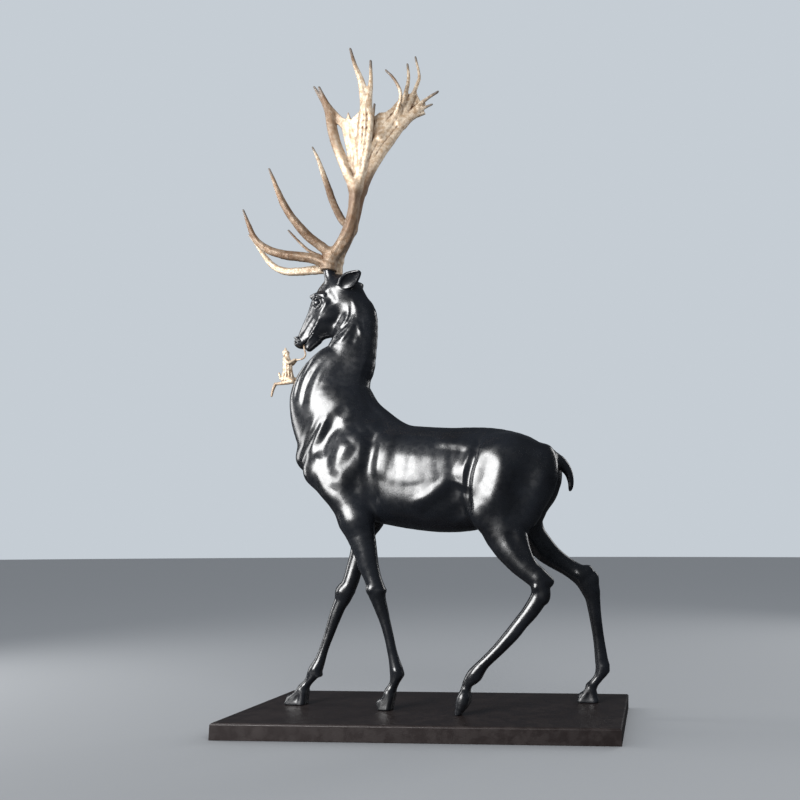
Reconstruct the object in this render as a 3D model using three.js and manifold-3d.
// A walking fallow buck in dark bronze on a low bronze plate, with a pair of
// gilded palmate antlers and a tiny gilded figure hanging from its lips.
// Millimetres, +Z up. The buck faces -X and its left side faces -Y.
// The origin is the middle of the plate's underside.

import * as THREE from 'three';
import { mergeVertices } from 'three/addons/utils/BufferGeometryUtils.js';
import Module from 'manifold-3d';

const wasm = await Module();
wasm.setup();

// Driving dimensions
const SHOULDER_HEIGHT = 885;
const PLATE_LENGTH = 1170;
const PLATE_DEPTH = 500;
const PLATE_THICKNESS = 47;
const PLATE_CHAMFER = 4;
const SEAT_GAP = 0.3;
const STEM_RADIUS = 2.6;

// The free forms are drawn for one shoulder height, measured up from the top
// of the plate, and every station below is scaled by UNIT.
const DRAWN_SHOULDER = 885;
const UNIT = SHOULDER_HEIGHT / DRAWN_SHOULDER;
const PEDICLE_TOP = 1408;
const PEDICLE_X = -402;
const PEDICLE_Y = 28;

// Fineness of the modelling grids and the triangles kept on each piece
const DEER_GRID = 7.5;
const DEER_TRIANGLES = 6400;
const ANTLER_GRID = 4.6;
const ANTLER_TRIANGLES = 1100;
const FIGURE_GRID = 2.2;
const FIGURE_TRIANGLES = 540;
const STEM_SIDES = 6;
const STEM_STEPS = 16;
const LIMB_STEPS = 3;
const STROKE_STEPS = 4;

const FAR = 1000;
const ROUND = 1;
const TINY = 1e-6;

// Finishes: colour, roughness and metalness
const GILT = { color: 0xc7ab84, roughness: 0.42, metalness: 0.9 };
const BLACK_BRONZE = { color: 0x16191f, roughness: 0.28, metalness: 0.85 };
const BROWN_BRONZE = { color: 0x35302f, roughness: 0.5, metalness: 0.6 };

// Smooth curve through stations of any number of components
function throughStations(stations, steps) {
  const fine = [];
  const last = stations.length - 1;
  for (let i = 0; i < last; i += 1) {
    const a = stations[Math.max(i - 1, 0)];
    const b = stations[i];
    const c = stations[i + 1];
    const d = stations[Math.min(i + 2, last)];
    for (let j = 0; j < steps; j += 1) {
      const t = j / steps;
      fine.push(b.map((_, n) => {
        const slopeIn = (c[n] - a[n]) / 2;
        const slopeOut = (d[n] - b[n]) / 2;
        const rise = c[n] - b[n];
        const bend = 3 * rise - 2 * slopeIn - slopeOut;
        const twist = slopeIn + slopeOut - 2 * rise;
        return b[n] + t * (slopeIn + t * (bend + t * twist));
      }));
    }
  }
  fine.push(stations[last]);
  return fine;
}

// Distance to an ellipse of half sizes a and b, from offsets u and v
function ovalDistance(u, v, a, b) {
  const near = Math.hypot(u / a, v / b);
  if (near < TINY) return -Math.min(a, b);
  return (near * (near - 1)) / Math.hypot(u / (a * a), v / (b * b));
}

// A limb is a run of tapered links. A station is [x, y, z, radius in the side
// view, width ratio], and the section is an oval standing across the limb.
function limb(stations, steps = LIMB_STEPS) {
  const full = stations.map(([x, y, z, r, ratio = ROUND]) => [x, y, z, r, ratio]);
  const fine = throughStations(full, steps);
  return fine.slice(1).map((to, i) => link(fine[i], to));
}

function link(a, b) {
  const reach = Math.max(a[3] * Math.max(a[4], 1), b[3] * Math.max(b[4], 1));
  const run = [b[0] - a[0], b[1] - a[1], b[2] - a[2]];
  const isRound = a[4] === ROUND && b[4] === ROUND;
  const across = isRound ? run[1] : 0;
  const span = run[0] ** 2 + across ** 2 + run[2] ** 2 || 1;
  const at = (x, y, z) => {
    const along = (x - a[0]) * run[0] + (y - a[1]) * across + (z - a[2]) * run[2];
    const t = Math.min(Math.max(along / span, 0), 1);
    const r = a[3] + t * (b[3] - a[3]);
    const dx = x - a[0] - t * run[0];
    const dy = y - a[1] - t * run[1];
    const dz = z - a[2] - t * run[2];
    if (isRound) return Math.hypot(dx, dy, dz) - r;
    const ratio = a[4] + t * (b[4] - a[4]);
    return ovalDistance(Math.hypot(dx, dz), dy, r, r * ratio);
  };
  const low = [0, 1, 2].map((n) => Math.min(a[n], b[n]) - reach);
  const high = [0, 1, 2].map((n) => Math.max(a[n], b[n]) + reach);
  return { low, high, at };
}

// An egg-shaped mass, turned in the side view by tilt degrees
function mass([x0, y0, z0], [a, b, c], tilt = 0) {
  const cos = Math.cos(THREE.MathUtils.degToRad(tilt));
  const sin = Math.sin(THREE.MathUtils.degToRad(tilt));
  const at = (x, y, z) => {
    const u = ((x - x0) * cos + (z - z0) * sin) / a;
    const v = (y - y0) / b;
    const w = ((z - z0) * cos - (x - x0) * sin) / c;
    const near = Math.hypot(u, v, w);
    if (near < TINY) return -Math.min(a, b, c);
    return (near * (near - 1)) / Math.hypot(u / a, v / b, w / c);
  };
  const reach = Math.max(a, b, c);
  return [{
    low: [x0 - reach, y0 - reach, z0 - reach],
    high: [x0 + reach, y0 + reach, z0 + reach],
    at,
  }];
}

// A leaf lies along the line from root to tip and faces along its normal
function leaf(root, tip, normal, halfWidth, halfThickness) {
  const from = new THREE.Vector3(...root);
  const to = new THREE.Vector3(...tip);
  const middle = from.clone().lerp(to, 0.5);
  const halfLength = from.distanceTo(to) / 2;
  const along = to.clone().sub(from).normalize();
  const face = new THREE.Vector3(...normal);
  face.addScaledVector(along, -face.dot(along)).normalize();
  const side = face.clone().cross(along);
  const p = new THREE.Vector3();
  const at = (x, y, z) => {
    p.set(x, y, z).sub(middle);
    const a = p.dot(along) / halfLength;
    const b = p.dot(side) / halfWidth;
    const c = p.dot(face) / halfThickness;
    const near = Math.hypot(a, b, c);
    if (near < TINY) return -halfThickness;
    return (near * (near - 1)) / Math.hypot(a / halfLength, b / halfWidth, c / halfThickness);
  };
  return [{
    low: middle.toArray().map((value) => value - halfLength),
    high: middle.toArray().map((value) => value + halfLength),
    at,
  }];
}

// A thin sheet has an outline in the side view and lies on the surface
// y = level(x, z)
function sheet(outline, halfThickness, level) {
  const at = (x, y, z) => {
    let nearest = Infinity;
    let inside = false;
    outline.forEach(([ax, az], i) => {
      const [bx, bz] = outline[(i + 1) % outline.length];
      const span = (bx - ax) ** 2 + (bz - az) ** 2;
      const along = ((x - ax) * (bx - ax) + (z - az) * (bz - az)) / span;
      const t = Math.min(Math.max(along, 0), 1);
      const gap = Math.hypot(x - ax - t * (bx - ax), z - az - t * (bz - az));
      nearest = Math.min(nearest, gap);
      const crosses = (az > z) !== (bz > z);
      if (crosses && x < ax + ((z - az) * (bx - ax)) / (bz - az)) inside = !inside;
    });
    const rim = inside ? -nearest : nearest;
    const depth = Math.abs(y - level(x, z)) - halfThickness;
    if (rim > 0 && depth > 0) return Math.hypot(rim, depth);
    return Math.max(rim, depth);
  };
  const xs = outline.map(([x]) => x);
  const zs = outline.map(([, z]) => z);
  const ys = outline.map(([x, z]) => level(x, z));
  return [{
    low: [Math.min(...xs), Math.min(...ys) - halfThickness, Math.min(...zs)],
    high: [Math.max(...xs), Math.max(...ys) + halfThickness, Math.max(...zs)],
    at,
  }];
}

// Strokes fade out between these distances from the midline
const FLANK_START = 12;
const FLANK_FULL = 45;

// A surface point stays this share of a grid edge away from the edge's ends
const EDGE_MARGIN = 0.03;

// Modelling clay: signed distances on a grid, negative inside, to which forms
// are added, from which they are cut, and on whose flanks strokes are raised
class Clay {
  constructor(low, high, step) {
    this.low = low;
    this.step = step;
    this.count = low.map((value, n) => Math.ceil((high[n] - value) / step) + 1);
    const nodes = this.count[0] * this.count[1] * this.count[2];
    this.field = new Float32Array(nodes).fill(FAR);
    this.scratch = new Float32Array(nodes);
  }

  index(i, j, k) {
    return (i * this.count[1] + j) * this.count[2] + k;
  }

  range(low, high, margin) {
    return this.low.map((origin, n) => [
      Math.max(0, Math.floor((low[n] - margin - origin) / this.step)),
      Math.min(this.count[n] - 1, Math.ceil((high[n] + margin - origin) / this.step)),
    ]);
  }

  visit([[i0, i1], [j0, j1], [k0, k1]], action) {
    for (let i = i0; i <= i1; i += 1) {
      const x = this.low[0] + i * this.step;
      for (let j = j0; j <= j1; j += 1) {
        const y = this.low[1] + j * this.step;
        const row = this.index(i, j, 0);
        for (let k = k0; k <= k1; k += 1) {
          action(row + k, x, y, this.low[2] + k * this.step);
        }
      }
    }
  }

  blendWith(parts, blend, mix) {
    const margin = blend + 2 * this.step;
    const low = [0, 1, 2].map((n) => Math.min(...parts.map((part) => part.low[n])));
    const high = [0, 1, 2].map((n) => Math.max(...parts.map((part) => part.high[n])));
    const whole = this.range(low, high, margin);
    const { scratch, field } = this;
    this.visit(whole, (node) => {
      scratch[node] = FAR;
    });
    for (const part of parts) {
      this.visit(this.range(part.low, part.high, margin), (node, x, y, z) => {
        const distance = part.at(x, y, z);
        if (distance < scratch[node]) scratch[node] = distance;
      });
    }
    this.visit(whole, (node) => {
      field[node] = mix(field[node], scratch[node], blend);
    });
  }

  add(parts, blend) {
    this.blendWith(parts, blend, (a, b, k) => {
      const near = Math.max(k - Math.abs(a - b), 0);
      return Math.min(a, b) - (near * near) / (4 * k);
    });
  }

  cut(parts, blend) {
    this.blendWith(parts, blend, (a, b, k) => {
      const near = Math.max(k - Math.abs(a + b), 0);
      return Math.max(a, -b) + (near * near) / (4 * k);
    });
  }

  // A stroke follows a path of [x, z] points on both flanks and raises the
  // surface by height, or sinks it where height is negative
  stroke({ path, width, height }) {
    const fine = throughStations(path, STROKE_STEPS);
    const xs = fine.map(([x]) => x);
    const zs = fine.map(([, z]) => z);
    const low = [Math.min(...xs), -FAR, Math.min(...zs)];
    const high = [Math.max(...xs), FAR, Math.max(...zs)];
    this.visit(this.range(low, high, 2 * width), (node, x, y, z) => {
      if (Math.abs(this.field[node]) > 4 * width || Math.abs(y) < FLANK_START) return;
      let nearest = 4 * width * width;
      for (let i = 1; i < fine.length; i += 1) {
        const [ax, az] = fine[i - 1];
        const ux = fine[i][0] - ax;
        const uz = fine[i][1] - az;
        const along = ((x - ax) * ux + (z - az) * uz) / (ux * ux + uz * uz || 1);
        const t = Math.min(Math.max(along, 0), 1);
        nearest = Math.min(nearest, (x - ax - t * ux) ** 2 + (z - az - t * uz) ** 2);
      }
      const falloff = (1 - nearest / (4 * width * width)) ** 2;
      const flank = Math.min((Math.abs(y) - FLANK_START) / (FLANK_FULL - FLANK_START), 1);
      this.field[node] -= height * falloff * flank;
    });
  }

  // The surface where the field crosses zero: each grid cube is split into six
  // tetrahedra round its diagonal, so that the surface closes without gaps
  surface() {
    const orders = [[0, 1, 2], [1, 2, 0], [2, 0, 1], [0, 2, 1], [2, 1, 0], [1, 0, 2]];
    const even = [
      [0, 1, 2, 3], [0, 2, 3, 1], [0, 3, 1, 2], [1, 0, 3, 2], [1, 2, 0, 3], [1, 3, 2, 0],
      [2, 0, 1, 3], [2, 1, 3, 0], [2, 3, 0, 1], [3, 0, 2, 1], [3, 1, 0, 2], [3, 2, 1, 0],
    ];
    const strides = [this.count[1] * this.count[2], this.count[2], 1];
    const cellOffsets = orders.map((order) => {
      const corners = [0];
      order.forEach((axis) => corners.push(corners[corners.length - 1] + strides[axis]));
      return corners;
    });
    const { field } = this;
    const nodes = field.length;
    const made = new Map();
    const positions = [];
    const triangles = [];
    const place = (node) => [
      this.low[0] + Math.floor(node / strides[0]) * this.step,
      this.low[1] + (Math.floor(node / strides[1]) % this.count[1]) * this.step,
      this.low[2] + (node % this.count[2]) * this.step,
    ];
    const crossing = (p, q) => {
      const first = Math.min(p, q);
      const second = Math.max(p, q);
      const key = first * nodes + second;
      if (made.has(key)) return made.get(key);
      const share = field[first] / (field[first] - field[second]);
      const t = Math.min(Math.max(share, EDGE_MARGIN), 1 - EDGE_MARGIN);
      const a = place(first);
      const b = place(second);
      const vertex = positions.length / 3;
      positions.push(...a.map((value, n) => value + t * (b[n] - value)));
      made.set(key, vertex);
      return vertex;
    };
    const face = (a, b, c, flipped) => {
      if (flipped) triangles.push(a, c, b);
      else triangles.push(a, b, c);
    };
    const tetrahedron = (corner, flipped) => {
      const isInside = corner.map((node) => field[node] < 0);
      const inside = isInside.filter(Boolean).length;
      if (inside === 0 || inside === 4) return;
      const lead = inside === 3 ? (n) => !isInside[n] : (n) => isInside[n];
      const order = even.find((o) => lead(o[0]) && (inside !== 2 || lead(o[1])));
      const [p, q, r, s] = order.map((n) => corner[n]);
      if (inside === 1) face(crossing(p, q), crossing(p, r), crossing(p, s), flipped);
      if (inside === 3) face(crossing(p, q), crossing(p, s), crossing(p, r), flipped);
      if (inside === 2) {
        const ring = [crossing(p, r), crossing(p, s), crossing(q, s), crossing(q, r)];
        face(ring[0], ring[1], ring[2], flipped);
        face(ring[0], ring[2], ring[3], flipped);
      }
    };
    const diagonal = strides[0] + strides[1] + strides[2];
    for (let i = 0; i < this.count[0] - 1; i += 1) {
      for (let j = 0; j < this.count[1] - 1; j += 1) {
        for (let k = 0; k < this.count[2] - 1; k += 1) {
          const node = this.index(i, j, k);
          const limit = 2 * this.step;
          if (Math.abs(field[node]) > limit && Math.abs(field[node + diagonal]) > limit) continue;
          cellOffsets.forEach((offsets, n) => {
            tetrahedron(offsets.map((offset) => node + offset), n > 2);
          });
        }
      }
    }
    return { positions, triangles };
  }
}

// Keep only the largest connected body of a surface
function largestBody({ positions, triangles }) {
  const parent = Array.from({ length: positions.length / 3 }, (_, i) => i);
  const find = (i) => {
    let root = i;
    while (parent[root] !== root) {
      parent[root] = parent[parent[root]];
      root = parent[root];
    }
    return root;
  };
  for (let i = 0; i < triangles.length; i += 3) {
    parent[find(triangles[i])] = find(triangles[i + 1]);
    parent[find(triangles[i + 1])] = find(triangles[i + 2]);
  }
  const size = new Map();
  for (let i = 0; i < triangles.length; i += 3) {
    const root = find(triangles[i]);
    size.set(root, (size.get(root) ?? 0) + 1);
  }
  const main = [...size.entries()].reduce((best, entry) => (entry[1] > best[1] ? entry : best))[0];
  const kept = [];
  for (let i = 0; i < triangles.length; i += 3) {
    if (find(triangles[i]) === main) kept.push(triangles[i], triangles[i + 1], triangles[i + 2]);
  }
  return { positions, triangles: kept };
}

// Binary heap of numbered items, cheapest first
class CostHeap {
  constructor() {
    this.cost = [];
    this.order = [];
  }

  push(cost) {
    const { order } = this;
    const item = this.cost.push(cost) - 1;
    let child = order.push(item) - 1;
    while (child > 0) {
      const above = (child - 1) >> 1;
      if (this.cost[order[above]] <= cost) break;
      order[child] = order[above];
      child = above;
    }
    order[child] = item;
  }

  pop() {
    const { order, cost } = this;
    const top = order[0];
    const last = order.pop();
    const { length } = order;
    let above = 0;
    while (2 * above + 1 < length) {
      let child = 2 * above + 1;
      if (child + 1 < length && cost[order[child + 1]] < cost[order[child]]) child += 1;
      if (cost[order[child]] >= cost[last]) break;
      order[above] = order[child];
      above = child;
    }
    if (length > 0) order[above] = last;
    return top;
  }
}

// How strongly joined points hold their middle, what a long edge costs beside
// the form, and the cosine past which a face counts as turned over
const HOLD = 1e-3;
const EDGE_COST = 1e-4;
const TURN_LIMIT = 0.25;

// Coarsen a closed surface by joining the two ends of an edge where that
// changes the form least, until only the wanted number of triangles is left
function coarsen({ positions, triangles }, wanted) {
  const count = positions.length / 3;
  const place = Float64Array.from(positions);
  const corners = Int32Array.from(triangles);
  const faceCount = corners.length / 3;
  const around = Array.from({ length: count }, () => []);
  const quadric = new Float64Array(count * 10);
  const stamp = new Int32Array(count);
  const ends = [];
  const heap = new CostHeap();
  const meeting = [0, 0, 0];

  // Normal of a face, as it is or with its corner v moved to the meeting point
  const normalOf = (f, v, normal) => {
    const p = [0, 1, 2].map((n) => corners[3 * f + n]);
    const at = (c, n) => (p[c] === v ? meeting[n] : place[3 * p[c] + n]);
    const x = at(0, 0);
    const y = at(0, 1);
    const z = at(0, 2);
    const ux = at(1, 0) - x;
    const uy = at(1, 1) - y;
    const uz = at(1, 2) - z;
    const vx = at(2, 0) - x;
    const vy = at(2, 1) - y;
    const vz = at(2, 2) - z;
    normal[0] = uy * vz - uz * vy;
    normal[1] = uz * vx - ux * vz;
    normal[2] = ux * vy - uy * vx;
  };

  const before = [0, 0, 0];
  const after = [0, 0, 0];
  for (let f = 0; f < faceCount; f += 1) {
    normalOf(f, -1, before);
    const area = Math.hypot(...before) || TINY;
    const [a, b, c] = before.map((value) => value / area);
    const first = 3 * corners[3 * f];
    const d = -(a * place[first] + b * place[first + 1] + c * place[first + 2]);
    const plane = [a * a, a * b, a * c, a * d, b * b, b * c, b * d, c * c, c * d, d * d];
    for (let n = 0; n < 3; n += 1) {
      const v = corners[3 * f + n];
      around[v].push(f);
      for (let m = 0; m < 10; m += 1) quadric[10 * v + m] += plane[m] * area;
    }
  }

  // The point where the two ends of an edge meet best, and what that costs
  const q = new Float64Array(10);
  const meet = (v, w) => {
    for (let n = 0; n < 10; n += 1) q[n] = quadric[10 * v + n] + quadric[10 * w + n];
    const hold = HOLD * (q[0] + q[4] + q[7]);
    const m0 = q[0] + hold;
    const m3 = q[4] + hold;
    const m5 = q[7] + hold;
    const r0 = (hold * (place[3 * v] + place[3 * w])) / 2 - q[3];
    const r1 = (hold * (place[3 * v + 1] + place[3 * w + 1])) / 2 - q[6];
    const r2 = (hold * (place[3 * v + 2] + place[3 * w + 2])) / 2 - q[8];
    const c0 = m3 * m5 - q[5] * q[5];
    const c1 = q[2] * q[5] - q[1] * m5;
    const c2 = q[1] * q[5] - q[2] * m3;
    const c3 = q[2] * q[1] - m0 * q[5];
    const det = m0 * c0 + q[1] * c1 + q[2] * c2 || TINY;
    const x = (r0 * c0 + r1 * c1 + r2 * c2) / det;
    const y = (r0 * c1 + r1 * (m0 * m5 - q[2] * q[2]) + r2 * c3) / det;
    const z = (r0 * c2 + r1 * c3 + r2 * (m0 * m3 - q[1] * q[1])) / det;
    meeting[0] = x;
    meeting[1] = y;
    meeting[2] = z;
    const error = q[0] * x * x + q[4] * y * y + q[7] * z * z + q[9]
      + 2 * (q[1] * x * y + q[2] * x * z + q[5] * y * z + q[3] * x + q[6] * y + q[8] * z);
    let apart = 0;
    for (let n = 0; n < 3; n += 1) apart += (place[3 * v + n] - place[3 * w + n]) ** 2;
    return Math.max(error, 0) + EDGE_COST * apart;
  };
  const offer = (v, w) => {
    heap.push(meet(v, w));
    ends.push([v, w, stamp[v] + stamp[w]]);
  };
  const neighbours = (v) => {
    const ring = [];
    for (const f of around[v]) {
      for (let n = 0; n < 3; n += 1) {
        const u = corners[3 * f + n];
        if (u !== v && !ring.includes(u)) ring.push(u);
      }
    }
    return ring;
  };
  const hasCorner = (f, w) => [0, 1, 2].some((n) => corners[3 * f + n] === w);
  const turnsOver = (v, w) => around[v].some((f) => {
    if (hasCorner(f, w)) return false;
    normalOf(f, -1, before);
    normalOf(f, v, after);
    const dot = before[0] * after[0] + before[1] * after[1] + before[2] * after[2];
    const size = Math.hypot(before[0], before[1], before[2])
      * Math.hypot(after[0], after[1], after[2]);
    return dot < TURN_LIMIT * size + TINY * TINY;
  });

  for (let f = 0; f < faceCount; f += 1) {
    for (let n = 0; n < 3; n += 1) {
      const v = corners[3 * f + n];
      const w = corners[3 * f + ((n + 1) % 3)];
      if (v < w) offer(v, w);
    }
  }
  let left = faceCount;
  while (left > wanted && heap.order.length > 0) {
    const [v, w, age] = ends[heap.pop()];
    if (age !== stamp[v] + stamp[w] || !around[v].length || !around[w].length) continue;
    const ringV = neighbours(v);
    if (!ringV.includes(w)) continue;
    const ringW = neighbours(w);
    meet(v, w);
    if (ringV.filter((u) => ringW.includes(u)).length !== 2) continue;
    if (turnsOver(v, w) || turnsOver(w, v)) continue;
    for (const f of around[w]) {
      if (hasCorner(f, v)) {
        for (let n = 0; n < 3; n += 1) {
          const u = corners[3 * f + n];
          if (u !== w) around[u] = around[u].filter((other) => other !== f);
          corners[3 * f + n] = -1;
        }
        left -= 1;
      } else {
        for (let n = 0; n < 3; n += 1) if (corners[3 * f + n] === w) corners[3 * f + n] = v;
        around[v].push(f);
      }
    }
    around[w] = [];
    for (let n = 0; n < 3; n += 1) place[3 * v + n] = meeting[n];
    for (let n = 0; n < 10; n += 1) quadric[10 * v + n] += quadric[10 * w + n];
    stamp[v] += stamp[w] + 1;
    for (const u of neighbours(v)) offer(v, u);
  }
  const renumbered = new Map();
  const keptPlaces = [];
  const keptCorners = [];
  for (const v of corners.filter((corner) => corner >= 0)) {
    if (!renumbered.has(v)) {
      renumbered.set(v, keptPlaces.length / 3);
      keptPlaces.push(place[3 * v], place[3 * v + 1], place[3 * v + 2]);
    }
    keptCorners.push(renumbered.get(v));
  }
  return { positions: keptPlaces, triangles: keptCorners };
}

function solidOf({ positions, triangles }) {
  return new wasm.Manifold(new wasm.Mesh({
    numProp: 3,
    vertProperties: Float32Array.from(positions),
    triVerts: Uint32Array.from(triangles),
  }));
}

function solidOfGeometry(geometry) {
  const bare = geometry.clone();
  bare.deleteAttribute('normal');
  bare.deleteAttribute('uv');
  const merged = mergeVertices(bare);
  return solidOf({ positions: merged.attributes.position.array, triangles: merged.index.array });
}

function geometryOf(solid) {
  const mesh = solid.getMesh();
  const geometry = new THREE.BufferGeometry();
  geometry.setAttribute('position', new THREE.BufferAttribute(mesh.vertProperties, 3));
  geometry.setIndex(new THREE.BufferAttribute(mesh.triVerts, 1));
  geometry.computeVertexNormals();
  return geometry;
}

// A piece modelled in clay, coarsened and brought to its real size
function sculpted(clay, wanted) {
  const { positions, triangles } = coarsen(largestBody(clay.surface()), wanted);
  return solidOf({ positions: positions.map((value) => value * UNIT), triangles });
}

function block([x0, y0, z0], [x1, y1, z1]) {
  const geometry = new THREE.BoxGeometry(x1 - x0, y1 - y0, z1 - z0);
  geometry.translate((x0 + x1) / 2, (y0 + y1) / 2, (z0 + z1) / 2);
  return solidOfGeometry(geometry);
}

// The trunk, neck and head along the midline: [x, y, z, radius, width ratio]
const TRUNK = [
  [-374, 0, 787, 92, 0.78], [-308, 0, 772, 136, 0.64], [-240, 0, 748, 164, 0.58],
  [-150, 0, 728, 164, 0.6], [-60, 0, 716, 168, 0.62], [20, 0, 711, 169, 0.62],
  [95, 0, 716, 165, 0.6], [165, 0, 738, 138, 0.68], [235, 0, 756, 102, 0.84],
  [290, 0, 762, 66, 1.15],
];
const NECK = [
  [-352, 0, 1338, 58, 0.8], [-324, 0, 1293, 57, 0.84], [-304, 0, 1258, 61, 0.82],
  [-308, 0, 1195, 71, 0.78], [-328, 0, 1103, 86, 0.74], [-355, 0, 1063, 101, 0.7],
  [-374, 0, 1023, 116, 0.66], [-384, 0, 983, 128, 0.64], [-374, 0, 938, 140, 0.62],
  [-360, 0, 893, 141, 0.62], [-348, 0, 838, 130, 0.64],
];
const HEAD = [
  [-372, 0, 1338, 64, 0.8], [-395, 0, 1300, 68, 0.76], [-413, 0, 1256, 64, 0.68],
  [-450, 0, 1218, 44, 0.72], [-470, 0, 1193, 34, 0.76], [-488, 0, 1174, 22, 0.95],
];
const WITHERS = [[-290, 0, 965, 44, 0.7], [-236, 0, 906, 52, 0.72], [-153, 0, 838, 56, 0.8]];
const TAIL = [
  [335, 0, 785, 26], [372, 0, 768, 21], [393, 0, 748, 17], [405, 0, 728, 13],
  [411, 0, 703, 10], [411, 0, 686, 8], [409, 0, 676, 5],
];
const NECK_BLEND = 30;
const WITHERS_BLEND = 16;
const TAIL_BLEND = 16;

// The legs, from the body down to the coronet of the hoof
const LEFT_FORELEG = [
  [-262, -56, 575, 50, 0.75], [-242, -56, 525, 43, 0.75], [-226, -55, 473, 35, 0.8],
  [-219, -54, 443, 32, 0.8], [-206, -53, 408, 27, 0.85], [-198, -52, 386, 26, 0.9],
  [-191, -51, 362, 28, 0.85], [-183, -50, 333, 23, 0.85], [-171, -49, 298, 19.5, 0.85],
  [-158, -48, 258, 16, 0.85], [-145, -47, 213, 14, 0.9], [-135, -46, 173, 14.5, 0.9],
  [-127, -45, 143, 17, 0.9], [-119, -44, 110, 21, 0.9], [-124, -44, 86, 15, 1.05],
  [-131, -44, 68, 14.5, 1.1], [-137, -44, 55, 18, 1.05],
];
const RIGHT_FORELEG = [
  [-285, 56, 570, 46, 0.75], [-283, 54, 513, 36, 0.8], [-288, 50, 473, 31, 0.85],
  [-300, 46, 433, 26, 0.9], [-308, 42, 396, 26, 0.9], [-316, 40, 370, 26, 0.9],
  [-328, 38, 350, 30, 0.85], [-333, 37, 328, 25, 0.85], [-343, 35, 306, 21.5, 0.85],
  [-354, 33, 273, 19.5, 0.85], [-368, 30, 223, 16, 0.85], [-383, 27, 173, 14, 0.9],
  [-394, 25, 136, 17, 0.9], [-407, 23, 105, 21.5, 0.9], [-420, 21, 80, 15, 1.05],
  [-431, 20, 64, 13.5, 1.15], [-441, 19, 50, 18, 1.05],
];
const LEFT_HINDLEG = [
  [222, -56, 705, 136, 0.44], [224, -60, 640, 113, 0.5], [220, -64, 598, 90, 0.55],
  [215, -70, 553, 71, 0.6], [226, -76, 520, 60, 0.6], [241, -82, 490, 51, 0.62],
  [268, -88, 452, 41, 0.66], [300, -92, 420, 34, 0.72], [326, -94, 398, 33, 0.75],
  [332, -95, 372, 29, 0.8], [328, -95, 345, 27, 0.8], [302, -97, 302, 25, 0.8],
  [276, -99, 271, 22.5, 0.85], [246, -101, 233, 22, 0.85], [210, -103, 193, 19, 0.9],
  [169, -104, 153, 17.5, 0.9], [153, -105, 135, 20, 0.9], [137, -105, 114, 23, 0.9],
  [121, -105, 96, 17, 1], [114, -105, 80, 15, 1.05], [110, -105, 62, 17, 1.05],
];
const RIGHT_HINDLEG = [
  [222, 56, 705, 134, 0.46], [222, 60, 640, 108, 0.52], [232, 66, 590, 80, 0.6],
  [266, 74, 540, 53, 0.64], [302, 82, 500, 43, 0.64], [344, 90, 463, 34, 0.68],
  [390, 96, 432, 29, 0.72], [425, 99, 410, 31, 0.72], [450, 100, 390, 34, 0.7],
  [466, 101, 360, 31, 0.75], [474, 101, 333, 25, 0.8], [480, 102, 293, 21, 0.85],
  [486, 102, 253, 19, 0.85], [492, 103, 213, 18, 0.85], [498, 104, 173, 19, 0.85],
  [503, 105, 133, 21, 0.85], [507, 105, 106, 23, 0.85], [495, 105, 80, 16, 1],
  [481, 105, 62, 15, 1.05], [470, 105, 47, 19, 1.05],
];
const HAMSTRING_TENDONS = [
  [[330, -93, 402, 20], [354, -93, 394, 15]],
  [[436, 99, 408, 24], [458, 99, 420, 16]],
];

// Bony knobs and edges of knees and hocks, and the middle of each flat hoof
const JOINTS = [
  { centre: [-203, -56, 364], size: [17, 20, 17] }, { centre: [-177, -51, 361], size: [18, 21, 12] },
  { centre: [-332, 35, 353], size: [19, 22, 19] }, { centre: [-311, 39, 352], size: [14, 19, 11] },
  { centre: [358, -93, 390], size: [15, 14, 15] }, { centre: [345, -96, 352], size: [18, 21, 30] },
  { centre: [321, -100, 374], size: [14, 19, 16] }, { centre: [455, 98, 422], size: [18, 15, 14] },
  { centre: [478, 101, 388], size: [17, 18, 30] }, { centre: [436, 99, 404], size: [18, 20, 18] },
  { centre: [-155, -44, 18], size: [26, 20, 20] }, { centre: [-466, 19, 17], size: [30, 20, 18] },
  { centre: [457, 105, 17], size: [31, 20, 19] },
];
const JOINT_BLEND = 6;
const FORELEG_BLEND = 26;
const HINDLEG_BLEND = 40;
const TENDON_BLEND = 12;

// Dew claws: a pair behind each fetlock, and how far they hang down
const DEW_CLAWS = [
  { place: [-108, -44, 110], drop: 6 }, { place: [-396, 23, 104], drop: 14 },
  { place: [148, -105, 116], drop: 8 }, { place: [519, 105, 106], drop: 8 },
];
const DEW_CLAW_SPREAD = 8;

// Hooves that stand flat: the coronet's middle, and how far toe and heel reach
const FLAT_HOOVES = [
  { coronet: [-141, -44, 50], toe: -176, heel: -131 },
  { coronet: [-444, 19, 46], toe: -500, heel: -430 },
  { coronet: [467, 105, 44], toe: 422, heel: 494 },
];
const CLAW_SPREAD = 10;
const CLAW_BLEND = 8;

// The left hind hoof stands on the tip of its two claws
const TIPTOE_HOOF = [[110, -105, 62, 15], [107, -105, 42, 21], [91, -105, 3, 9]];
const TIPTOE_SPREAD = [11, 11, 7.7];

// A flat hoof: two claws side by side, each drawn from the coronet to the toe
// and the heel, with a sole between them
function flatHoof(clay, { coronet: [x, y, z], toe, heel }) {
  for (const side of [-CLAW_SPREAD, CLAW_SPREAD]) {
    const wall = [[x, y + side, z, 13], [toe + 13, y + side * 0.9, 4, 9]];
    const bulb = [[x + 6, y + side, z - 8, 13], [heel - 11, y + side, 3, 12]];
    const sole = [[toe + 16, y + side, 5, 10], [heel - 12, y + side, 5, 13]];
    for (const part of [wall, bulb, sole]) clay.add(limb(part, 1), CLAW_BLEND);
  }
}

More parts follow.
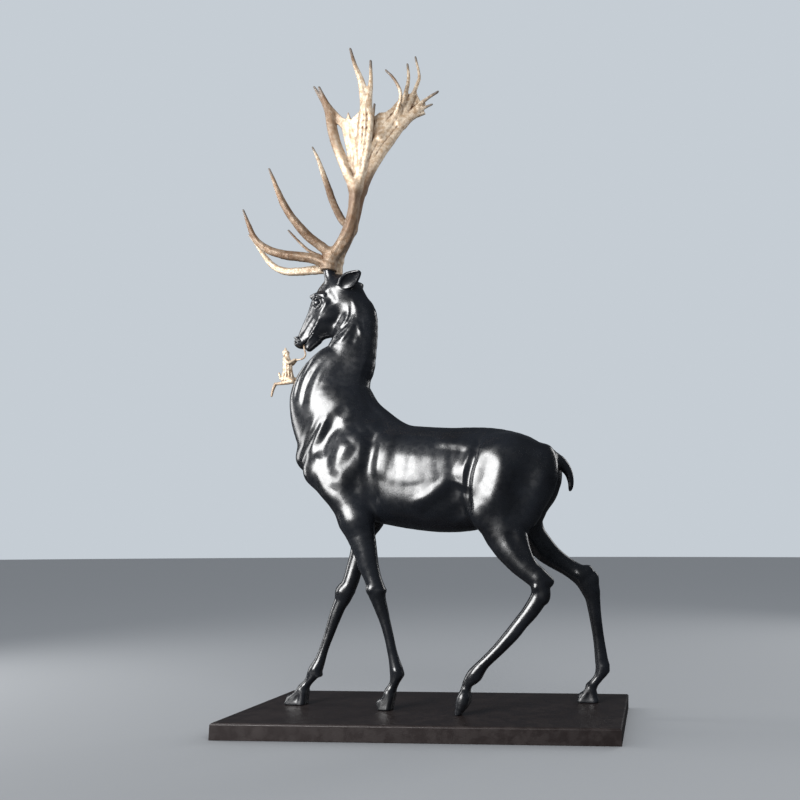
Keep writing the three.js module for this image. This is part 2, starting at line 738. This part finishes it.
function legs(clay) {
  clay.add(limb(LEFT_FORELEG), FORELEG_BLEND);
  clay.add(limb(RIGHT_FORELEG), FORELEG_BLEND);
  clay.add(limb(LEFT_HINDLEG), HINDLEG_BLEND);
  clay.add(limb(RIGHT_HINDLEG), HINDLEG_BLEND);
  HAMSTRING_TENDONS.forEach((tendon) => clay.add(limb(tendon, 1), TENDON_BLEND));
  JOINTS.forEach(({ centre, size }) => clay.add(mass(centre, size), JOINT_BLEND));
  FLAT_HOOVES.forEach((hoof) => flatHoof(clay, hoof));
  for (const { place: [x, y, z], drop } of DEW_CLAWS) {
    for (const side of [-DEW_CLAW_SPREAD, DEW_CLAW_SPREAD]) {
      const claw = [[x - 8, y + side, z + 6, 11], [x + 3, y + side, z - drop, 7]];
      clay.add(limb(claw, 1), CLAW_BLEND);
    }
  }
  for (const side of [-1, 1]) {
    const claw = TIPTOE_HOOF.map(([x, y, z, r], n) => [x, y + side * TIPTOE_SPREAD[n], z, r]);
    clay.add(limb(claw), CLAW_BLEND);
  }
}

// Forms that are alike on both sides, drawn for the right side at +Y
const BREAST = { centre: [-450, 0, 783], size: [34, 48, 34], blend: 30 };
const SHOULDER_BLADE = [[-232, 42, 862, 34, 0.9], [-300, 60, 800, 60, 0.62], [-380, 58, 742, 54, 0.64]];
const UPPER_ARM = [[-378, 58, 736, 54, 0.64], [-308, 64, 660, 52, 0.66], [-262, 60, 592, 50, 0.7]];
const SHOULDER_BLEND = 22;
const MUSCLES = [
  { centre: [-300, 74, 742], size: [46, 24, 92], tilt: -28, blend: 34 },
  { centre: [200, 60, 776], size: [100, 44, 60], tilt: 12, blend: 30 },
  { centre: [330, 46, 728], size: [44, 42, 88], tilt: -6, blend: 30 },
  { centre: [165, 84, 690], size: [72, 34, 112], tilt: -14, blend: 34 },
  { centre: [138, 86, 596], size: [28, 24, 40], tilt: 20, blend: 24 },
];

const onSide = (side, [x, y, ...rest]) => [x, y * side, ...rest];

function shoulderAndHaunch(clay) {
  clay.add(mass(BREAST.centre, BREAST.size), BREAST.blend);
  for (const side of [-1, 1]) {
    for (const bone of [SHOULDER_BLADE, UPPER_ARM]) {
      clay.add(limb(bone.map((station) => onSide(side, station))), SHOULDER_BLEND);
    }
    for (const { centre, size, tilt, blend } of MUSCLES) {
      clay.add(mass(onSide(side, centre), size, tilt), blend);
    }
  }
}

// The head's parts, drawn for the right side at +Y
const MUZZLE = { centre: [-500, 0, 1172], size: [18.5, 20, 18], blend: 10 };
const JAW = [[-446, 0, 1182, 20, 0.85], [-468, 0, 1154, 12, 1.15]];
const MOUTH = [[-495, 0, 1143, 6, 4], [-482, 0, 1159, 4, 6], [-468, 0, 1174, 3, 8]];
const CHEEK = { centre: [-396, 34, 1268], size: [34, 14, 34], blend: 14 };
const TEMPLE = { centre: [-381, 38, 1330], size: [16, 8, 14], blend: 10 };
const BROW = [[-455, 24, 1322, 8], [-434, 40, 1323, 8], [-402, 46, 1318, 8]];
const EYE_SOCKET = { centre: [-428, 66, 1295], size: [24, 23, 17], blend: 4 };
const EYEBALL = { centre: [-428, 38, 1295], size: [16.5, 15, 13.5], blend: 1 };
const NOSTRIL = { centre: [-508, 22, 1176], size: [9, 7, 6], tilt: 40, blend: 4 };
const PEDICLE = [
  [-380, 20, 1362, 24], [PEDICLE_X + 6, 26, 1390, 18],
  [PEDICLE_X, PEDICLE_Y, PEDICLE_TOP + 12, 18],
];
const HEAD_BLEND = 24;
const FACE_BLEND = 8;

function head(clay) {
  clay.add(limb(HEAD), HEAD_BLEND);
  clay.add(mass(MUZZLE.centre, MUZZLE.size), MUZZLE.blend);
  clay.add(limb(JAW, 1), FACE_BLEND);
  for (const side of [-1, 1]) {
    const shaped = ({ centre, size, tilt }) => mass(onSide(side, centre), size, tilt);
    clay.add(shaped(CHEEK), CHEEK.blend);
    clay.add(shaped(TEMPLE), TEMPLE.blend);
    clay.add(limb(BROW.map((station) => onSide(side, station))), FACE_BLEND);
    clay.cut(shaped(EYE_SOCKET), EYE_SOCKET.blend);
    clay.add(shaped(EYEBALL), EYEBALL.blend);
    clay.cut(shaped(NOSTRIL), NOSTRIL.blend);
    clay.add(limb(PEDICLE.map((station) => onSide(side, station))), FACE_BLEND);
  }
  clay.cut(limb(MOUTH), 2);
}

// Pointed ears: a broad leaf with a narrow one carrying it on to the tip, and a
// hollow sunk into the face
const EARS = [
  { root: [-354, -46, 1344], tip: [-268, -88, 1383], face: [0.25, -1, -0.5] },
  { root: [-356, 42, 1348], tip: [-336, 106, 1410], face: [-1, 0.1, 0.2] },
];
const EAR_HOLLOW_LIFT = 9;

function ears(clay) {
  for (const { root, tip, face } of EARS) {
    const part = (share) => root.map((value, n) => value + share * (tip[n] - value));
    const lifted = (share) => part(share).map((value, n) => value + EAR_HOLLOW_LIFT * face[n]);
    clay.add(leaf(root, part(0.84), face, 26, 10), FACE_BLEND);
    clay.add(leaf(part(0.4), tip, face, 15, 8), FACE_BLEND);
    clay.cut(leaf(lifted(0.12), lifted(0.82), face, 19, 10), 3);
  }
}

// Creases and ridges on the flanks
const FLANK_STROKES = [
  { path: [[-226, 890], [-210, 831], [-210, 737], [-203, 643], [-194, 570]], width: 13, height: -8 },
  { path: [[-172, 848], [-178, 784], [-190, 722]], width: 11, height: 5 },
  { path: [[-276, 830], [-306, 770], [-332, 712]], width: 18, height: 5 },
  { path: [[-250, 776], [-290, 722], [-322, 668]], width: 18, height: 5 },
  { path: [[-216, 834], [-232, 782], [-252, 726]], width: 14, height: 4 },
    { path: [[-340, 850], [-346, 780], [-330, 700], [-296, 640]], width: 18, height: -5 },
  { path: [[-352, 918], [-392, 842], [-434, 764]], width: 12, height: 5 },
  { path: [[-378, 924], [-416, 852], [-456, 780]], width: 12, height: 5 },
  { path: [[-374, 1200], [-440, 1090], [-478, 1020], [-484, 950], [-470, 880]], width: 22, height: 9 },
  { path: [[-292, 1350], [-278, 1230], [-314, 1080], [-334, 1010], [-322, 940]], width: 38, height: -12 },
  { path: [[-291, 1224], [-311, 1210], [-326, 1182], [-346, 1156]], width: 8, height: 3 },
  { path: [[-314, 1312], [-292, 1264], [-270, 1216], [-266, 1178]], width: 7, height: 3 },
  { path: [[-318, 1290], [-314, 1256], [-326, 1222], [-356, 1200]], width: 8, height: -5 },
  { path: [[-348, 1310], [-368, 1250], [-404, 1206], [-440, 1180]], width: 18, height: -5 },
  { path: [[60, 708], [18, 672], [-24, 643], [-96, 608]], width: 14, height: 5 },
  { path: [[66, 690], [8, 632], [-70, 596]], width: 18, height: -4 },
  { path: [[-14, 828], [60, 820], [132, 808]], width: 14, height: 4.5 },
  { path: [[118, 800], [96, 756], [66, 702]], width: 13, height: 5 },
  { path: [[84, 690], [66, 640], [92, 584]], width: 26, height: -10 },
  { path: [[134, 862], [124, 790], [107, 716], [104, 642], [112, 552]], width: 10, height: -10 },
  { path: [[218, 786], [192, 690], [148, 604]], width: 20, height: 5 },
  { path: [[318, 800], [288, 700], [262, 610], [258, 540]], width: 20, height: -7 },
  { path: [[252, 556], [284, 518], [322, 452]], width: 9, height: 4 },
];
const RIBS = { first: -146, pitch: 43, count: 5, top: 812, middle: 755, foot: 672, width: 9, height: 2.4 };

function carveFlanks(clay) {
  FLANK_STROKES.forEach((stroke) => clay.stroke(stroke));
  const { first, pitch, count, top, middle, foot, width, height } = RIBS;
  for (let n = 0; n < count; n += 1) {
    const x = first + n * pitch;
    clay.stroke({ path: [[x - 8, top - 6 * n], [x, middle], [x + 12, foot + 6 * n]], width, height });
  }
}

const DEER_BOX = { low: [-545, -150, -16], high: [560, 150, 1436] };

function deerSolid(figureStem) {
  const clay = new Clay(DEER_BOX.low, DEER_BOX.high, DEER_GRID);
  clay.add(limb(TRUNK), 1);
  clay.add(limb(NECK), NECK_BLEND);
  clay.add(limb(WITHERS), WITHERS_BLEND);
  shoulderAndHaunch(clay);
  legs(clay);
  clay.add(limb(TAIL), TAIL_BLEND);
  head(clay);
  ears(clay);
  carveFlanks(clay);
  const ground = block([-FAR, -FAR, -FAR], [FAR, FAR, SEAT_GAP]);
  const seatPlane = UNIT * PEDICLE_TOP;
  const above = block([-FAR, -FAR, seatPlane], [FAR, FAR, seatPlane + FAR]);
  const socket = solidOfGeometry(figureStem);
  return sculpted(clay, DEER_TRIANGLES).subtract(ground).subtract(above).subtract(socket);
}

// Antlers: tines and beams are round, [x, y, z, radius]
const LEFT_ANTLER = {
  beam: [
    [PEDICLE_X, -PEDICLE_Y, 1396, 21], [-398, -29, 1425, 20], [-388, -31, 1455, 19],
    [-360, -40, 1488, 20],
    [-334, -52, 1521, 20], [-317, -64, 1556, 19], [-305, -76, 1591, 18], [-297, -88, 1626, 18],
    [-292, -98, 1662, 19],
  ],
  tines: [
    [[-404, -30, 1430, 20], [-445, -38, 1446, 17], [-490, -50, 1451, 15.5], [-531, -62, 1452, 15],
      [-576, -74, 1462, 13.5], [-610, -84, 1482, 12], [-633, -90, 1513, 9.5], [-650, -94, 1553, 6.5],
      [-667, -97, 1596, 4]],
    [[-392, -36, 1462, 18], [-422, -52, 1487, 16], [-450, -70, 1507, 15], [-475, -88, 1533, 14.5],
      [-496, -104, 1561, 13], [-513, -116, 1589, 12], [-527, -124, 1618, 10.5],
      [-544, -130, 1661, 7.5], [-568, -132, 1718, 4]],
    [[-295, -98, 1662, 18], [-312, -112, 1700, 17], [-335, -124, 1758, 16], [-354, -132, 1812, 16],
      [-367, -138, 1867, 15], [-373, -141, 1901, 13], [-387, -142, 1930, 9], [-425, -144, 1990, 4]],
    [[-366, -140, 1895, 11], [-382, -150, 1936, 7], [-402, -158, 1979, 4]],
    [[-290, -98, 1662, 18, 0.95], [-272, -110, 1717, 20, 0.7], [-254, -130, 1791, 22, 0.5],
      [-243, -150, 1857, 21, 0.5], [-244, -162, 1912, 18, 0.5], [-258, -170, 1988, 10, 0.8],
      [-277, -176, 2036, 7, 0.95], [-294, -180, 2094, 4, 0.99]],
    [[-240, -162, 1902, 12], [-226, -170, 1970, 7], [-227, -176, 2052, 4]],
  ],
  palm: [
    [-289, 1668], [-304, 1730], [-318, 1790], [-332, 1850], [-364, 1890], [-368, 1920],
    [-346, 1902], [-328, 1883], [-314, 1876], [-307, 1898], [-298, 1874], [-276, 1890],
    [-248, 1912], [-244, 1850], [-256, 1780], [-276, 1700],
  ],
  level: (x, z) => -99 - 0.2 * (z - 1665) - 0.12 * (x + 290),
};
const RIGHT_ANTLER = {
  beam: [
    [PEDICLE_X, PEDICLE_Y, 1396, 21], [-402, 28, 1430, 20], [-396, 32, 1480, 19],
    [-380, 40, 1530, 19],
    [-364, 50, 1581, 18], [-355, 62, 1637, 17], [-352, 74, 1694, 17], [-349, 86, 1746, 18],
  ],
  tines: [
    [[-404, 29, 1430, 18], [-425, 30, 1437, 16], [-482, 40, 1439, 15], [-540, 52, 1440, 14],
      [-602, 66, 1448, 12.5], [-650, 78, 1473, 10.5], [-688, 88, 1512, 8], [-725, 96, 1561, 5.5],
      [-755, 100, 1596, 4]],
    [[-398, 34, 1464, 13], [-420, 44, 1473, 10], [-483, 90, 1507, 7.5], [-560, 140, 1555, 6],
      [-659, 190, 1650, 4]],
    [[-362, 56, 1585, 14], [-390, 62, 1612, 13], [-412, 66, 1640, 13], [-446, 80, 1702, 12.5],
      [-475, 94, 1769, 11], [-503, 108, 1833, 8.5], [-526, 118, 1885, 6], [-552, 124, 1934, 4]],
    [[-348, 86, 1746, 17], [-322, 100, 1825, 14], [-292, 118, 1899, 12], [-261, 136, 1965, 11],
      [-228, 150, 2027, 10], [-185, 160, 2082, 7], [-129, 166, 2112, 4]],
    [[-228, 150, 2027, 9], [-200, 156, 2075, 8], [-165, 160, 2118, 6.5], [-108, 166, 2162, 4]],
    [[-240, 146, 2030, 9], [-215, 155, 2100, 8], [-190, 168, 2190, 6.5], [-182, 171, 2230, 5.5],
      [-201, 176, 2308, 4]],
    [[-248, 142, 2030, 9], [-229, 150, 2127, 7.5], [-219, 160, 2212, 6], [-227, 166, 2274, 4]],
    [[-300, 117, 1960, 8], [-272, 134, 2020, 8], [-246, 132, 2075, 8], [-228, 110, 2122, 7],
      [-246, 92, 2166, 5.5], [-275, 82, 2195, 4]],
    [[-346, 86, 1760, 12], [-346, 90, 1830, 10], [-342, 98, 1908, 9], [-330, 106, 2007, 7],
      [-323, 110, 2084, 4]],
  ],
  palm: [
    [-348, 1748], [-356, 1830], [-352, 1930], [-336, 2036], [-311, 2064], [-290, 2068],
    [-272, 2090], [-256, 2118], [-236, 2135], [-218, 2150], [-190, 2160], [-176, 2130],
    [-158, 2125], [-166, 2095], [-156, 2082], [-201, 2052], [-226, 2024], [-254, 1964],
    [-280, 1911], [-307, 1853], [-332, 1792],
  ],
  level: (x, z) => 86 + 0.13 * (z - 1746) + 0.25 * (x + 334),
};
const PALM_HALF_THICKNESS = 5.5;
const BURR_RADIUS = 26;
const BURR_DEPTH = 8;
const BURR_BLEND = 4;
const TINE_BLEND = 14;
const PALM_BLEND = 12;
const ANTLER_MARGIN = 30;

function antlerSolid({ beam, tines, palm, level }) {
  const all = [beam, ...tines].flat();
  const low = [0, 1, 2].map((n) => Math.min(...all.map((station) => station[n])) - ANTLER_MARGIN);
  const high = [0, 1, 2].map((n) => Math.max(...all.map((station) => station[n])) + ANTLER_MARGIN);
  const clay = new Clay(low, high, ANTLER_GRID);
  clay.add(limb(beam), 1);
  const [x, y] = beam[0];
  const burr = [[x, y, PEDICLE_TOP - BURR_DEPTH, BURR_RADIUS], [x, y, PEDICLE_TOP, BURR_RADIUS]];
  clay.add(limb(burr, 1), BURR_BLEND);
  tines.forEach((tine) => clay.add(limb(tine), TINE_BLEND));
  clay.add(sheet(palm, PALM_HALF_THICKNESS, level), PALM_BLEND);
  const seatPlane = UNIT * PEDICLE_TOP + SEAT_GAP;
  const below = block([-FAR, -FAR, seatPlane - FAR], [FAR, FAR, seatPlane]);
  return sculpted(clay, ANTLER_TRIANGLES).subtract(below);
}

// The tiny gilded figure: it hangs by its hands from a bent stem held in the
// buck's lips, and wears a tunic; its knees are drawn up and its shins trail behind
const STEM = [
  [-483, -8, 1172], [-481, -8, 1150], [-475, -9, 1130], [-481, -10, 1117],
  [-498, -10, 1112], [-514, -10, 1111],
];
const STEM_TOP_SLACK = 1;
const FIGURE_LIMBS = [
  [[-538, -10, 1114, 11.5], [-535, -10, 1096, 15, 1], [-532, -10, 1072, 15.5], [-531, -10, 1046, 18]],
  [[-536, -21, 1110, 6.2], [-525, -22, 1099, 5.2], [-510, -12, 1111, 5]],
  [[-536, 1, 1110, 6.2], [-525, 2, 1099, 5.2], [-507, -8, 1111, 5]],
  [[-530, -17, 1044, 11], [-518, -19, 1041, 9.5], [-510, -20, 1037, 7.5]],
  [[-510, -20, 1037, 7.5], [-528, -21, 1033, 7], [-550, -21, 1030, 5.6], [-566, -21, 1028, 4.4]],
  [[-566, -21, 1028, 4.6], [-573, -21, 1010, 4.2], [-577, -21, 988, 3.4]],
  [[-530, -3, 1047, 11], [-517, -1, 1047, 9.5], [-508, 0, 1045, 7.5]],
  [[-508, 0, 1045, 7.5], [-528, 1, 1042, 7], [-550, 1, 1045, 5.2], [-560, 1, 1051, 4.4]],
  [[-560, 1, 1051, 4.4], [-564, 1, 1061, 3.8], [-567, 1, 1070, 3.4]],
];
const FIGURE_HEAD = { centre: [-541, -10, 1133], size: [9.5, 9, 11.5], blend: 4 };
const FIGURE_HAIR = [[-541, -10, 1140, 6], [-543, -10, 1150, 3]];
const FIGURE_HEM = { centre: [-530, -10, 1047], size: [20, 19, 13], blend: 5 };
const FIGURE_BOX = { low: [-600, -45, 950], high: [-490, 25, 1170] };
const FIGURE_BLEND = 6;

function stemGeometry(radius) {
  const points = STEM.map((point) => new THREE.Vector3(...point).multiplyScalar(UNIT));
  const path = new THREE.CatmullRomCurve3(points);
  const ring = Array.from({ length: STEM_SIDES }, (_, n) => {
    const turn = (2 * Math.PI * n) / STEM_SIDES;
    return new THREE.Vector2(radius * Math.cos(turn), radius * Math.sin(turn));
  });
  return new THREE.ExtrudeGeometry(new THREE.Shape(ring), {
    extrudePath: path, steps: STEM_STEPS, bevelEnabled: false,
  });
}

function figureSolid() {
  const clay = new Clay(FIGURE_BOX.low, FIGURE_BOX.high, FIGURE_GRID);
  FIGURE_LIMBS.forEach((stations) => clay.add(limb(stations), FIGURE_BLEND));
  clay.add(mass(FIGURE_HEAD.centre, FIGURE_HEAD.size), FIGURE_HEAD.blend);
  clay.add(limb(FIGURE_HAIR, 1), FIGURE_HEAD.blend);
  clay.add(mass(FIGURE_HEM.centre, FIGURE_HEM.size), FIGURE_HEM.blend);
  const stemTop = UNIT * STEM[0][2] - SEAT_GAP - STEM_TOP_SLACK;
  const above = block([-FAR, -FAR, stemTop], [FAR, FAR, stemTop + FAR]);
  const stem = solidOfGeometry(stemGeometry(STEM_RADIUS)).subtract(above);
  return sculpted(clay, FIGURE_TRIANGLES).add(stem);
}

// The plate: a flat slab with a small chamfer round its top edge
function plateGeometry() {
  const shape = new THREE.Shape([
    new THREE.Vector2(-PLATE_LENGTH / 2, -PLATE_DEPTH / 2),
    new THREE.Vector2(PLATE_LENGTH / 2, -PLATE_DEPTH / 2),
    new THREE.Vector2(PLATE_LENGTH / 2, PLATE_DEPTH / 2),
    new THREE.Vector2(-PLATE_LENGTH / 2, PLATE_DEPTH / 2),
  ]);
  const slab = new THREE.ExtrudeGeometry(shape, { depth: PLATE_THICKNESS, bevelEnabled: false });
  let solid = solidOfGeometry(slab);
  for (const [turn, reach, length] of [
    [0, PLATE_DEPTH / 2, PLATE_LENGTH], [Math.PI, PLATE_DEPTH / 2, PLATE_LENGTH],
    [Math.PI / 2, PLATE_LENGTH / 2, PLATE_DEPTH], [-Math.PI / 2, PLATE_LENGTH / 2, PLATE_DEPTH],
  ]) {
    const side = PLATE_CHAMFER * Math.SQRT2;
    const edge = new THREE.BoxGeometry(2 * length, side, side);
    edge.rotateX(Math.PI / 4);
    edge.translate(0, reach, PLATE_THICKNESS);
    edge.rotateZ(turn);
    solid = solid.subtract(solidOfGeometry(edge));
  }
  return geometryOf(solid);
}

function namedMesh(name, geometry, finish, z) {
  const mesh = new THREE.Mesh(geometry, new THREE.MeshStandardMaterial(finish));
  mesh.name = name;
  mesh.position.z = z;
  return mesh;
}

const socketGeometry = stemGeometry(STEM_RADIUS + SEAT_GAP);
const leftAntler = geometryOf(antlerSolid(LEFT_ANTLER));
const rightAntler = geometryOf(antlerSolid(RIGHT_ANTLER));

const deerSculpture = new THREE.Group();
deerSculpture.add(
  namedMesh('base_plate', plateGeometry(), BROWN_BRONZE, 0),
  namedMesh('deer', geometryOf(deerSolid(socketGeometry)), BLACK_BRONZE, PLATE_THICKNESS),
  namedMesh('antler_left', leftAntler, GILT, PLATE_THICKNESS),
  namedMesh('antler_right', rightAntler, GILT, PLATE_THICKNESS),
  namedMesh('gilded_figure', geometryOf(figureSolid()), GILT, PLATE_THICKNESS),
);

export default deerSculpture;
